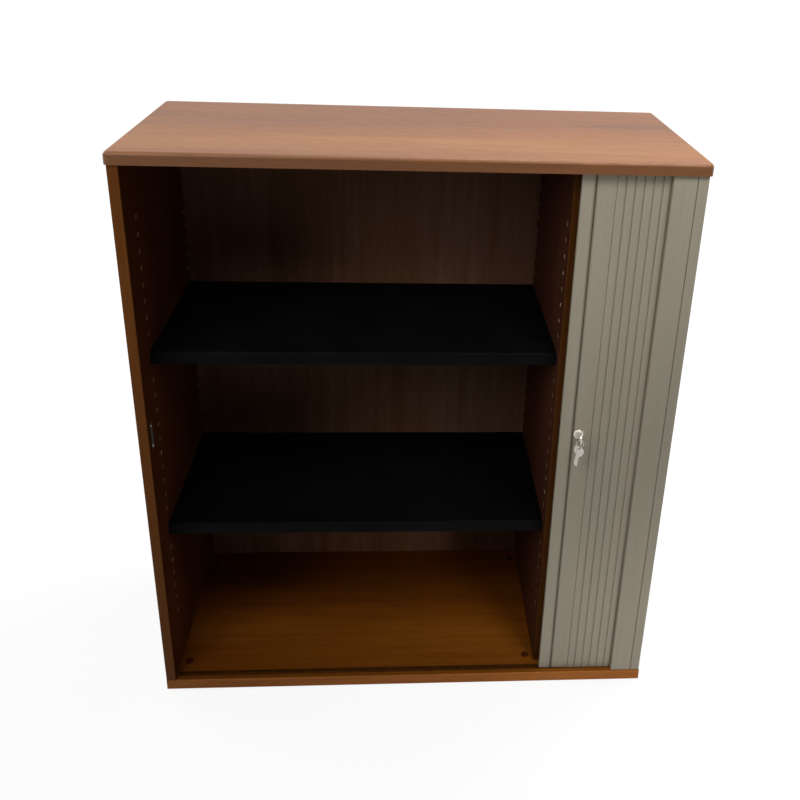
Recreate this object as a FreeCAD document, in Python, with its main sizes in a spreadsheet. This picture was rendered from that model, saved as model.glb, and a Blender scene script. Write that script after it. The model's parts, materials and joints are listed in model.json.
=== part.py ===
"""Office cabinet with a horizontal tambour shutter, as a parametric document.

Millimetres, +X to the right, +Y to the back, +Z up. The origin lies on the ground in the middle of
the cabinet's bounding box. The shutter is parked open, with its curtain in the store at the right.
"""
import FreeCAD
import Part
import math
import os
import re
import Sketcher
from FreeCAD import Placement, Rotation, Vector

# Driving dimensions. Heights and setbacks are measured from the carcass' own faces.
SIZES = {
    "carcass_width": 1000, "carcass_depth": 416, "height": 1154, "foot_gap": 4,
    "top_thick": 22, "top_overhang": 4, "bottom_thick": 25, "side_thick": 19,
    "edge_radius": 3, "top_radius": 7, "corner_radius": 9,
    "back_thick": 8, "back_inset": 8, "back_rebate": 5, "panel_fit": 0.2,
    "store_width": 226, "liner_thick": 16, "liner_setback": 36,
    "post_width": 62, "post_thick": 9, "post_setback": 3, "post_lap": 2,
    "post_line": 20, "post_line_width": 2.5, "post_line_depth": 2, "post_radius": 2,
    "track_setback": 17.5, "bend_radius": 40, "rail_width": 14, "rail_depth": 8, "rail_base": 1.5,
    "channel_width": 10, "rail_fit": 0.2, "rail_pitch": 16, "stop_length": 12,
    "slat_pitch": 16, "front_slats": 6, "slat_face": 4.2, "slat_plate": 1.3, "slat_gap": 0.8,
    "slat_chamfer": 0.7, "leg_from": 10.5, "leg_thick": 1.5, "neck_thick": 1.2,
    "bead_radius": 1.35, "socket_bore": 1.7, "socket_radius": 2.7,
    "mouth_ease": 6.3, "run_gap": 0.3, "head_gap": 1.2,
    "lead_width": 61, "lead_line": 24.5, "lead_line_width": 2.5, "lead_line_depth": 2.5,
    "lead_wall": 1.6, "joint_room": 6, "lead_end_gap": 0.5, "closed_gap": 2,
    "glide_fit": 0.2, "tongue_length": 10,
    "shelf_setback": 60, "shelf_lip": 27, "shelf_metal": 1.2, "shelf_return": 12, "shelf_bend": 5,
    "shelf_end_gap": 1, "shelf_back_gap": 2, "upper_shelf": 735, "lower_shelf": 350,
    "pin_setback": 8, "pin_radius": 2.5, "pin_reach": 9, "pin_depth": 9, "pin_fit": 0.1,
    "foot_setback": 51, "foot_inset": 17, "store_foot_inset": 36, "foot_radius": 14,
    "foot_clear": 0.3, "stem_radius": 4, "stem_length": 17, "insert_radius": 6.5, "insert_length": 16,
    "access_radius": 5, "cap_radius": 8, "cap_thick": 1.2, "cap_spigot": 4.8, "spigot_length": 4,
    "lock_height": 616, "lock_from_edge": 36, "barrel_radius": 8, "barrel_fit": 0.2,
    "rosette_radius": 10, "rosette_thick": 3, "plug_radius": 5.7, "turn_gap": 0.3,
    "crank": 7, "crank_width": 7, "crank_thick": 2, "crank_end": 3, "crank_hole": 1.5,
    "link_pin": 1.2, "link_thick": 1.6, "link_gap": 0.8, "works_gap": 1.2,
    "hook_pivot": 14, "pivot_pin": 2, "hook_reach": 26, "hook_width": 7,
    "claw_height": 11, "claw_rake": 2.4, "claw_thick": 5,
    "case_edge": 0.5, "case_width": 51.5, "case_drop": 31, "case_rise": 17, "case_depth": 10,
    "case_wall": 1.2, "slot_drop": 26, "slot_rise": 13,
    "strike_thick": 1.5, "strike_width": 14, "strike_drop": 34, "strike_rise": 18,
    "strike_slot_drop": 23, "strike_slot_rise": 5.5, "mortise_depth": 14, "hook_side_gap": 1.5,
    "key_reach": 16, "bow_radius": 11, "bow_hole": 3.2, "bow_hole_offset": 2.4, "key_thick": 2,
    "shoulder_half": 4, "blade_half": 3.8, "blade_length": 12, "keyway_fit": 0.3, "bow_clear": 0.4,
    "ring_radius": 7, "ring_wire": 0.7, "ring_thick": 1, "ring_gap": 0.3,
    "spare_gap": 0.5, "spare_rim": 4, "spare_blade": 24,
}

# Places that follow from the driving dimensions. Plan positions count from the carcass' left front
# corner, and left, front, floor and ceiling say where that corner is.
PLACES = {
    "left": "-carcass_width / 2",
    "front": "(key_reach - carcass_depth) / 2",
    "floor_level": "foot_gap + bottom_thick",
    "ceiling_level": "height - top_thick",
    "clear_height": "height - top_thick - foot_gap - bottom_thick",
    "back_face": "carcass_depth - back_inset - back_thick",
    "liner_face": "carcass_width - store_width",
    "clear_width": "carcass_width - store_width - side_thick",
    "shelf_depth": "back_face - shelf_setback - shelf_back_gap",
    "lead_park": "carcass_width - post_width + post_lap - front_slats * slat_pitch - lead_width",
    "lead_face": "track_setback - slat_face",
    "lead_box": "lead_width - joint_room",
    "slat_length": "clear_height + 2 * (rail_depth - rail_base) - run_gap - head_gap",
    "slat_base": "floor_level - rail_depth + rail_base + run_gap",
    "works_level": "2 * slat_face + works_gap",
    "link_level": "works_level + crank_thick + link_gap",
    "bow_centre": "lead_face + key_reach - bow_radius",
    "ring_level": "bow_centre + bow_hole_offset",
    "ring_drop": "bow_hole + ring_radius - ring_wire - ring_gap",
    "spare_drop": "ring_drop + ring_radius + bow_hole - ring_wire - spare_gap",
    "spare_hole_offset": "bow_radius - spare_rim",
}

# Degrees: how the spare key hangs, and how far a slat's bead goes round its joint.
SPARE_TWIST = 40
SPARE_TILT = 8
BEAD_SWEEP = 150

# Sides of the small round pieces and holes that repeat, and of those on the lock and its keys.
SIDES = 12
LOCK_SIDES = 36

doc = FreeCAD.newDocument("tambour_cabinet")
sheet = doc.addObject("Spreadsheet::Sheet", "sizes")
for row, (alias, number) in enumerate(SIZES.items(), start=1):
    sheet.set(f"A{row}", alias)
    sheet.set(f"B{row}", str(number))
    sheet.setAlias(f"B{row}", alias)
doc.recompute()
places = doc.addObject("App::VarSet", "places")
kept = {}


def formula(text):
    """A formula in the sizes' own words, as an expression that reads the sheet and the places."""
    def cell(word):
        name = word[0]
        if name in SIZES:
            return "sizes." + name
        return "places." + name if name in PLACES else name
    return re.sub(r"[a-z][a-z_]*", cell, text)


for name in PLACES:
    places.addProperty("App::PropertyFloat", name)
for name, text in PLACES.items():
    places.setExpression(name, formula(text))
doc.recompute()


def value(name):
    return getattr(places, name) if name in PLACES else float(sheet.get(name))


def bind(thing, **formulas):
    for property_name, text in formulas.items():
        thing.setExpression(property_name, formula(text))


def move(thing, x, y, z):
    for axis, text in zip("xyz", (x, y, z)):
        thing.setExpression(f"Placement.Base.{axis}", formula(text))


def keep(thing, label):
    """Marks an object as a sub-part, whose label names its file."""
    thing.Label = label
    kept[label] = thing
    return thing


def new_body(name, x="0", y="0", z="0"):
    body = doc.addObject("PartDesign::Body", name)
    move(body, x, y, z)
    return body


def sketch_on(body, role, offset="0"):
    sketch = body.newObject("Sketcher::SketchObject", "Sketch")
    plane = next(item for item in body.Origin.OriginFeatures if item.Role == role)
    sketch.AttachmentSupport = [(plane, "")]
    sketch.MapMode = "FlatFace"
    sketch.setExpression("AttachmentOffset.Base.z", formula(offset))
    return sketch


def pin_down(sketch, kind, geometry, point, start, text):
    index = sketch.addConstraint(Sketcher.Constraint(kind, -1, 1, geometry, point, start))
    sketch.setExpression(f"Constraints[{index}]", formula(text))


def outline(sketch, *corners):
    """Draws a closed outline of straight lines through corners that are given as formulas."""
    first = sketch.GeometryCount
    count = len(corners)
    turn = 2 * math.pi / count
    rough = [Vector(math.cos(turn * i), math.sin(turn * i), 0) for i in range(count)]
    for i in range(count):
        sketch.addGeometry(Part.LineSegment(rough[i], rough[(i + 1) % count]))
    for i, (x, y) in enumerate(corners):
        sketch.addConstraint(Sketcher.Constraint("Coincident", first + i, 2, first + (i + 1) % count, 1))
        pin_down(sketch, "DistanceX", first + i, 1, rough[i].x, x)
        pin_down(sketch, "DistanceY", first + i, 1, rough[i].y, y)


def rectangle(sketch, x0, y0, x1, y1):
    outline(sketch, (x0, y0), (x1, y0), (x1, y1), (x0, y1))


def round_points(x, y, radius, start, end, steps):
    """Corners on an arc about a point, from one angle to another in degrees."""
    points = []
    for i in range(steps + 1):
        angle = math.radians(start + (end - start) * i / steps)
        points.append((f"{x} + {radius} * {math.cos(angle):.6f}", f"{y} + {radius} * {math.sin(angle):.6f}"))
    return points


def faceted(sketch, x, y, radius, sides=SIDES):
    """Draws a small circle as a polygon."""
    outline(sketch, *round_points(x, y, f"({radius})", 0, 360 - 360 / sides, sides - 1))


def circle(sketch, x, y, radius):
    index = sketch.addGeometry(Part.Circle(Vector(1, 1, 0), Vector(0, 0, 1), 1))
    pin_down(sketch, "DistanceX", index, 3, 1, x)
    pin_down(sketch, "DistanceY", index, 3, 1, y)
    radius_index = sketch.addConstraint(Sketcher.Constraint("Radius", index, 1))
    sketch.setExpression(f"Constraints[{radius_index}]", formula(radius))


def pad(body, sketch, length, backwards=False):
    feature = body.newObject("PartDesign::Pad", "Pad")
    feature.Profile = sketch
    feature.Reversed = backwards
    bind(feature, Length=length)
    doc.recompute()


def pocket(body, sketch, depth, backwards=False):
    """Cuts the sketch into the body, against the sketch's normal unless it is backwards."""
    before = body.Shape.Volume
    feature = body.newObject("PartDesign::Pocket", "Pocket")
    feature.Profile = sketch
    feature.Reversed = backwards
    bind(feature, Length=depth)
    doc.recompute()
    if body.Shape.Volume >= before:
        raise ValueError(f"a pocket of {body.Name} cuts nothing")


def revolve(body, *corners):
    """Turns an outline of radius and height about the body's Z axis."""
    sketch = sketch_on(body, "XZ_Plane")
    outline(sketch, *corners)
    feature = body.newObject("PartDesign::Revolution", "Revolution")
    feature.Profile = sketch
    feature.ReferenceAxis = (sketch, ["V_Axis"])
    feature.Angle = 360
    doc.recompute()


def soften(body, radius, chosen):
    """Rounds the edges whose middle passes the test."""
    base = body.Tip
    names = [f"Edge{i}" for i, edge in enumerate(base.Shape.Edges, start=1) if chosen(edge.CenterOfMass)]
    feature = body.newObject("PartDesign::Fillet", "Fillet")
    feature.Base = (base, names)
    bind(feature, Radius=radius)
    doc.recompute()


def near(a, b):
    return abs(a - b) < 1e-4


def feature_of(label, shape, x=0.0, y=0.0, z=0.0):
    """A sub-part whose shape is worked out here, with its place set after its shape."""
    feature = doc.addObject("Part::Feature", label)
    feature.Shape = shape
    feature.Placement = Placement(Vector(x, y, z), Rotation())
    return keep(feature, label)


def copies(pattern, spots):
    """One shape of separate solids: the pattern's shape at each placement."""
    solids = []
    for spot in spots:
        solid = pattern.Shape.copy()
        solid.Placement = spot.multiply(Placement(solid.Placement.Base * 0, solid.Placement.Rotation))
        solids.append(solid)
    return Part.makeCompound(solids)


def spot_at(x, y, z, turn=0.0):
    """A placement in plan positions from the carcass' left front corner, turned about Z in degrees."""
    base = Vector(value("left") + x, value("front") + y, z)
    return Placement(base, Rotation(Vector(0, 0, 1), turn))


def track_runs():
    """The track's straight runs in plan, from the front run on, wound inwards as often as needed.

    Each run is a line that goes along X (even runs) or Y (odd runs) at a fixed other coordinate.
    """
    half = value("rail_width") / 2
    sides = [
        value("track_setback"),
        value("carcass_width") - value("side_thick") - half,
        value("back_face") - half,
        value("liner_face") + value("liner_thick") + half,
    ]
    inward = [1, -1, -1, 1]
    run = 0
    while True:
        yield sides[run % 4] + inward[run % 4] * value("rail_pitch") * (run // 4)
        run += 1


def track_pieces(length):
    """The track's centre line from the left side panel on, as lines and quarter arcs.

    length is how far it goes beyond the start of its first bend.
    """
    radius = value("bend_radius")
    headings = [Vector(1, 0, 0), Vector(0, 1, 0), Vector(-1, 0, 0), Vector(0, -1, 0)]
    runs = track_runs()
    levels = [next(runs), next(runs)]
    here = Vector(value("side_thick"), levels[0], 0)
    pieces = []
    left_over = length + levels[1] - radius - here.x
    run = 0
    while left_over > 0:
        heading = headings[run % 4]
        inner = headings[(run + 1) % 4]
        goal = levels[1] - radius * (heading.x + heading.y)
        straight = min(abs(goal - (here.x if run % 2 == 0 else here.y)), left_over)
        pieces.append(("line", here, here + heading * straight))
        here = here + heading * straight
        left_over -= straight
        if left_over <= 0:
            break
        angle = min(math.pi / 2, left_over / radius)
        pieces.append(("arc", here, heading, inner, angle))
        here = here + heading * radius * math.sin(angle) + inner * radius * (1 - math.cos(angle))
        left_over -= radius * angle
        levels = [levels[1], next(runs)]
        run += 1
    return pieces


def along(piece, distance):
    """The point of a track piece at a distance from its start."""
    if piece[0] == "line":
        return piece[1] + (piece[2] - piece[1]).normalize() * distance
    radius = value("bend_radius")
    angle = distance / radius
    return piece[1] + piece[2] * radius * math.sin(angle) + piece[3] * radius * (1 - math.cos(angle))


def piece_length(piece):
    return (piece[2] - piece[1]).Length if piece[0] == "line" else value("bend_radius") * piece[4]


def track_point(pieces, distance):
    for piece in pieces:
        if distance <= piece_length(piece):
            return along(piece, distance)
        distance -= piece_length(piece)
    raise ValueError("the track is too short for the curtain")


def joints_of_curtain(count):
    """Joint points of the curtain, one slat pitch apart in a straight line, from the lead's end on."""
    pitch = value("slat_pitch")
    pieces = track_pieces((count + 2) * pitch)
    travelled = value("lead_park") + value("lead_width") - value("side_thick")
    points = [track_point(pieces, travelled)]
    for _ in range(count):
        near_end, far_end = travelled + pitch, travelled + 1.2 * pitch
        for _ in range(40):
            middle = (near_end + far_end) / 2
            if (track_point(pieces, middle) - points[-1]).Length < pitch:
                near_end = middle
            else:
                far_end = middle
        travelled = near_end
        points.append(track_point(pieces, travelled))
    return points, travelled


def track_wire(length):
    edges = []
    for piece in track_pieces(length):
        span = piece_length(piece)
        if piece[0] == "line":
            edges.append(Part.makeLine(piece[1], piece[2]))
        else:
            edges.append(Part.Arc(piece[1], along(piece, span / 2), along(piece, span)).toShape())
    return Part.Wire(edges)


def swept_along_track(length, corners):
    """A solid with a section of offset from the centre line and height, swept along the track."""
    wire = track_wire(length)
    start = wire.OrderedVertexes[0].Point
    ring = [start + Vector(0, across, up) for across, up in corners]
    section = Part.makePolygon(ring + ring[:1])
    return wire.makePipeShell([section], True, True)


# How far the shutter closes, and the slats that then come out of the store.
travel = value("lead_park") - value("side_thick") - value("closed_gap")
stored_slats = math.ceil(travel / value("slat_pitch")) + 1
front_slats = int(value("front_slats"))
joints, curtain_end = joints_of_curtain(front_slats + stored_slats)
bend_start = value("carcass_width") - value("side_thick") - value("rail_width") / 2 - value("bend_radius")
track_length = curtain_end + value("side_thick") - bend_start + 1.5 * value("stop_length")


def groove(name, level, direction):
    """The cutter for a guide groove, up or down from the level of a panel's inner face."""
    half = value("rail_width") / 2
    deep = direction * value("rail_depth")
    cutter = doc.addObject("Part::Feature", name)
    cutter.Shape = swept_along_track(track_length, [(-half, 0), (half, 0), (half, deep), (-half, deep)])
    cutter.Placement = spot_at(0, 0, level)
    return cutter


def grooved(label, blank, cutter):
    cut = doc.addObject("Part::Cut", label)
    cut.Base = blank
    cut.Tool = cutter
    doc.recompute()
    return keep(cut, label)


def top_panel():
    blank = new_body("top_blank", "left - top_overhang", "front - top_overhang", "ceiling_level")
    sketch = sketch_on(blank, "XY_Plane")
    rectangle(sketch, "0", "0", "carcass_width + 2 * top_overhang", "carcass_depth + top_overhang")
    pad(blank, sketch, "top_thick")
    thick = value("top_thick")
    soften(blank, "corner_radius", lambda middle: near(middle.z, thick / 2))
    soften(blank, "top_radius", lambda middle: near(middle.z, thick))
    grooved("top_panel", blank, groove("top_groove", value("ceiling_level"), 1))


def foot_spots():
    """Plan positions of the levelling feet, by name: two under each upright panel."""
    columns = {
        "left": value("side_thick") + value("foot_inset"),
        "middle": value("liner_face") - value("foot_inset"),
        "right": value("carcass_width") - value("side_thick") - value("store_foot_inset"),
    }
    rows = {"front": value("foot_setback"), "back": value("carcass_depth") - value("foot_setback")}
    return {f"{row}_{column}": (x, y) for row, y in rows.items() for column, x in columns.items()}


FOOT_COLUMNS = ("side_thick + foot_inset", "liner_face - foot_inset",
                "carcass_width - side_thick - store_foot_inset")
FOOT_ROWS = ("foot_setback", "carcass_depth - foot_setback")


def bottom_panel():
    blank = new_body("bottom_blank", "left", "front", "floor_level")
    sketch = sketch_on(blank, "XY_Plane")
    rectangle(sketch, "0", "0", "carcass_width", "carcass_depth")
    pad(blank, sketch, "bottom_thick", backwards=True)
    half = value("carcass_width") / 2
    soften(blank, "edge_radius", lambda middle: near(middle.y, 0) and near(middle.x, half))
    seats = sketch_on(blank, "XY_Plane", "-bottom_thick")
    access = sketch_on(blank, "XY_Plane")
    for y in FOOT_ROWS:
        for x in FOOT_COLUMNS:
            faceted(seats, x, y, "insert_radius")
        for x in FOOT_COLUMNS[:2]:
            faceted(access, x, y, "access_radius")
    pocket(blank, seats, "insert_length", backwards=True)
    pocket(blank, access, "bottom_thick")
    grooved("bottom_panel", blank, groove("bottom_groove", value("floor_level"), -1))


SHELVES = ("upper_shelf", "lower_shelf")
PIN_HEIGHTS = tuple(f"{height} - shelf_metal - pin_fit - pin_radius" for height in SHELVES)
PIN_SETBACKS = ("shelf_setback + pin_setback", "back_face - shelf_back_gap - pin_setback")


def pin_holes(body, role, offset, shift, backwards):
    sketch = sketch_on(body, role, offset)
    for height in PIN_HEIGHTS:
        for setback in PIN_SETBACKS:
            faceted(sketch, f"{setback} - ({shift})", height, "pin_radius + pin_fit")
    pocket(body, sketch, "pin_depth", backwards)


def upright_front_edge(middle):
    return near(middle.y, 0) and near(middle.z, value("clear_height") / 2)


def left_side_panel():
    body = keep(new_body("left_side_panel", "left", "front", "floor_level"), "left_side_panel")
    sketch = sketch_on(body, "YZ_Plane")
    rectangle(sketch, "0", "0", "carcass_depth", "clear_height")
    pad(body, sketch, "side_thick")
    soften(body, "edge_radius / 2", upright_front_edge)
    rebate = sketch_on(body, "YZ_Plane", "side_thick")
    rectangle(rebate, "back_face - panel_fit", "0", "back_face + back_thick + panel_fit", "clear_height")
    pocket(body, rebate, "back_rebate")
    lock = "lock_height - floor_level"
    strike = "lead_face + works_level + crank_thick / 2"
    seat = sketch_on(body, "YZ_Plane", "side_thick")
    rectangle(seat, f"{strike} - strike_width / 2", f"{lock} - strike_drop",
              f"{strike} + strike_width / 2", f"{lock} + strike_rise")
    pocket(body, seat, "strike_thick")
    mortise = sketch_on(body, "YZ_Plane", "side_thick")
    rectangle(mortise, f"{strike} - crank_thick / 2 - hook_side_gap", f"{lock} - strike_slot_drop - 1",
              f"{strike} + crank_thick / 2 + hook_side_gap", f"{lock} + slot_rise")
    pocket(body, mortise, "mortise_depth")
    pin_holes(body, "YZ_Plane", "side_thick", "0", False)


def right_side_panel():
    start = "post_setback + post_thick"
    inner_face = "left + carcass_width - side_thick"
    body = new_body("right_side_panel", inner_face, f"front + {start}", "floor_level")
    keep(body, "right_side_panel")
    sketch = sketch_on(body, "YZ_Plane")
    rectangle(sketch, "0", "0", f"carcass_depth - ({start})", "clear_height")
    pad(body, sketch, "side_thick")
    rebate = sketch_on(body, "YZ_Plane")
    rectangle(rebate, f"back_face - ({start}) - panel_fit", "0",
              f"back_face - ({start}) + back_thick + panel_fit", "clear_height")
    pocket(body, rebate, "back_rebate", backwards=True)


def back_panel():
    box = keep(doc.addObject("Part::Box", "back_panel"), "back_panel")
    bind(box, Length="carcass_width - 2 * (side_thick - back_rebate + panel_fit)", Width="back_thick",
         Height="clear_height")
    move(box, "left + side_thick - back_rebate + panel_fit", "front + back_face", "floor_level")


def inner_liner():
    body = new_body("inner_liner", "left + liner_face", "front + liner_setback", "floor_level")
    keep(body, "inner_liner")
    sketch = sketch_on(body, "YZ_Plane")
    rectangle(sketch, "0", "0", "back_face - liner_setback", "clear_height")
    pad(body, sketch, "liner_thick")
    soften(body, "edge_radius / 2", upright_front_edge)
    pin_holes(body, "YZ_Plane", "0", "liner_setback", True)


def guide_rail(label, level, direction):
    """A U channel that lines a guide groove, with its open side towards the curtain."""
    half = value("rail_width") / 2 - value("rail_fit")
    inner = value("channel_width") / 2
    deep = direction * value("rail_depth")
    base = direction * (value("rail_depth") - value("rail_base"))
    section = [(-half, deep), (half, deep), (half, 0), (inner, 0), (inner, base), (-inner, base), (-inner, 0),
               (-half, 0)]
    rail = feature_of(label, swept_along_track(track_length, section))
    rail.Placement = spot_at(0, 0, level)


def track_end_stops():
    """Blocks that close the far end of both channels, behind the curtain's last slat."""
    end = track_pieces(track_length)[-1]
    heading = (end[2] - end[1]).normalize()
    across = Vector(-heading.y, heading.x, 0)
    half = value("channel_width") / 2 - value("rail_fit")
    tall = value("rail_depth") - value("rail_base")
    corner = end[2] - heading * value("stop_length")
    ring = [corner + across * half, corner - across * half, end[2] - across * half, end[2] + across * half]
    face = Part.Face(Part.makePolygon(ring + ring[:1]))
    lower = face.extrude(Vector(0, 0, -tall))
    upper = face.extrude(Vector(0, 0, tall))
    upper.translate(Vector(0, 0, value("clear_height")))
    stops = feature_of("track_end_stops", Part.makeCompound([lower, upper]))
    stops.Placement = spot_at(0, 0, value("floor_level"))


def front_post():
    body = new_body("front_post", "left + carcass_width - post_width", "front + post_setback", "floor_level")
    keep(body, "front_post")
    line_from = "post_width - post_line - post_line_width / 2"
    line_to = "post_width - post_line + post_line_width / 2"
    sketch = sketch_on(body, "XY_Plane")
    outline(sketch, ("0", "0"), (line_from, "0"), (line_from, "post_line_depth"),
            (line_to, "post_line_depth"), (line_to, "0"), ("post_width", "0"), ("post_width", "post_thick"),
            ("0", "post_thick"))
    pad(body, sketch, "clear_height")
    edges = (0, value("post_width"))
    soften(body, "post_radius", lambda middle: near(middle.y, 0) and any(near(middle.x, x) for x in edges))


def shelf(label, height):
    """A folded steel shelf: a plate with lips down at the front and back, each with a return."""
    left_end = "left + side_thick + shelf_end_gap"
    body = keep(new_body(label, left_end, "front + shelf_setback", f"floor_level + {height}"), label)
    metal = "shelf_metal"
    back = "shelf_depth"
    sketch = sketch_on(body, "YZ_Plane")
    outline(sketch, ("0", "0"), ("0", "-shelf_lip"), ("shelf_return", "-shelf_lip"),
            ("shelf_return", f"{metal} - shelf_lip"), (metal, f"{metal} - shelf_lip"), (metal, f"-{metal}"),
            (f"{back} - {metal}", f"-{metal}"), (f"{back} - {metal}", f"{metal} - shelf_lip"),
            (f"{back} - shelf_return", f"{metal} - shelf_lip"), (f"{back} - shelf_return", "-shelf_lip"),
            (back, "-shelf_lip"), (back, "0"))
    pad(body, sketch, "clear_width - 2 * shelf_end_gap")
    thick = value("shelf_metal")
    lip = value("shelf_lip")
    middle_x = (value("clear_width") - 2 * value("shelf_end_gap")) / 2
    outer = ((0, 0), (0, -lip))
    inner = ((thick, -thick), (thick, thick - lip))

    def bend(corners):
        return lambda middle: near(middle.x, middle_x) and any(
            near(middle.y, y) and near(middle.z, z) for y, z in corners)
    soften(body, "shelf_bend", bend(outer))
    soften(body, "shelf_bend - shelf_metal", bend(inner))


def shelf_pins():
    pattern = new_body("pin_pattern")
    sketch = sketch_on(pattern, "XY_Plane", "-pin_depth")
    faceted(sketch, "0", "0", "pin_radius")
    pad(pattern, sketch, "pin_depth + pin_reach")
    walls = ((value("side_thick"), 90), (value("liner_face"), -90))
    setbacks = (value("shelf_setback") + value("pin_setback"),
                value("back_face") - value("shelf_back_gap") - value("pin_setback"))
    under = value("shelf_metal") + value("pin_fit") + value("pin_radius")
    spots = []
    for shelf_height in SHELVES:
        height = value("floor_level") + value(shelf_height) - under
        for setback in setbacks:
            for x, turn in walls:
                upright = Placement(Vector(0, 0, 0), Rotation(Vector(0, 1, 0), turn))
                spots.append(spot_at(x, setback, height).multiply(upright))
    feature_of("shelf_pins", copies(pattern, spots))


def strike_plate():
    strike = "lead_face + works_level + crank_thick / 2"
    body = new_body("strike_plate", "left + side_thick - strike_thick", f"front + {strike}", "lock_height")
    keep(body, "strike_plate")
    sketch = sketch_on(body, "YZ_Plane")
    rectangle(sketch, "-strike_width / 2", "-strike_drop", "strike_width / 2", "strike_rise")
    pad(body, sketch, "strike_thick")
    slot = sketch_on(body, "YZ_Plane", "strike_thick")
    half = "(crank_thick / 2 + hook_side_gap)"
    rectangle(slot, f"-{half}", "-strike_slot_drop", half, "strike_slot_rise")
    pocket(body, slot, "strike_thick")


def floor_caps():
    pattern = new_body("cap_pattern")
    disc = sketch_on(pattern, "XY_Plane")
    faceted(disc, "0", "0", "cap_radius")
    pad(pattern, disc, "cap_thick")
    spigot = sketch_on(pattern, "XY_Plane")
    faceted(spigot, "0", "0", "cap_spigot")
    pad(pattern, spigot, "spigot_length", backwards=True)
    level = value("floor_level")
    spots = [spot_at(x, y, level) for name, (x, y) in foot_spots().items() if not name.endswith("right")]
    feature_of("floor_caps", copies(pattern, spots))


def levelling_feet():
    """Feet that turn in threaded inserts in the bottom panel, each a node of its own."""
    insert = new_body("insert_pattern")
    sleeve = sketch_on(insert, "XY_Plane")
    faceted(sleeve, "0", "0", "insert_radius")
    faceted(sleeve, "0", "0", "stem_radius + foot_clear")
    pad(insert, sleeve, "insert_length")
    foot = new_body("foot_pattern")
    disc = sketch_on(foot, "XY_Plane")
    faceted(disc, "0", "0", "foot_radius")
    pad(foot, disc, "foot_gap - foot_clear")
    stem = sketch_on(foot, "XY_Plane")
    faceted(stem, "0", "0", "stem_radius")
    pad(foot, stem, "stem_length")
    spots = foot_spots()
    seats = [spot_at(x, y, value("foot_gap")) for x, y in spots.values()]
    feature_of("foot_inserts", copies(insert, seats))
    for name, (x, y) in spots.items():
        label = f"foot_{name}"
        feature_of(label, copies(foot, [spot_at(x, y, 0)]))


def socket_sweep():
    """Degrees that a socket goes round its joint each way, with a mouth that clears the neck in a bend."""
    bend = 2 * math.asin(value("slat_pitch") / 2 / value("bend_radius"))
    neck = math.asin(value("neck_thick") / 2 / value("socket_bore"))
    return 180 - math.degrees(bend + neck) - value("mouth_ease")


def slat_pattern():
    """A slat in plan: a face plate, a bead on a neck at its far joint, and a socket at its near joint."""
    body = new_body("slat_pattern")
    under = "(slat_plate - slat_face)"
    edge = "slat_gap / 2"
    neck = "neck_thick / 2"
    sweep = socket_sweep()
    sketch = sketch_on(body, "XY_Plane")
    outline(sketch, (edge, "slat_chamfer - slat_face"), (f"{edge} + slat_chamfer", "-slat_face"),
            (f"slat_pitch - {edge} - slat_chamfer", "-slat_face"),
            (f"slat_pitch - {edge}", "slat_chamfer - slat_face"), (f"slat_pitch - {edge}", under),
            ("leg_from + leg_thick", under), ("leg_from + leg_thick", f"-{neck}"),
            *round_points("slat_pitch", "0", "bead_radius", -BEAD_SWEEP, BEAD_SWEEP, 5),
            ("leg_from", neck), ("leg_from", under), ("socket_radius", under),
            *round_points("0", "0", "socket_radius", 0, sweep, 2),
            *round_points("0", "0", "socket_bore", sweep, -sweep, 4),
            *round_points("0", "0", "socket_radius", -sweep, -sweep * 3 / 4, 1))
    pad(body, sketch, "slat_length")
    return body


def curtain():
    """Slats hooked into each other along the track: the ones in front, then the ones in the store."""
    pattern = slat_pattern()
    spots = []
    for here, following in zip(joints, joints[1:]):
        chord = following - here
        turn = math.degrees(math.atan2(chord.y, chord.x))
        spots.append(spot_at(here.x, here.y, value("slat_base"), turn))
    for i in range(front_slats):
        feature_of(f"slat_{i + 1}", copies(pattern, spots[i:i + 1]))
    store = {"side": [], "back": [], "liner": []}
    half_depth = value("back_face") - value("bend_radius") - value("rail_width") / 2
    middle_x = (value("liner_face") + value("carcass_width")) / 2
    for spot, joint in zip(spots[front_slats:], joints[front_slats:]):
        if joint.y > half_depth:
            store["back"].append(spot)
        else:
            store["side" if joint.x > middle_x else "liner"].append(spot)
    for run, run_spots in store.items():
        feature_of(f"stored_slats_{run}", copies(pattern, run_spots))


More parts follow.
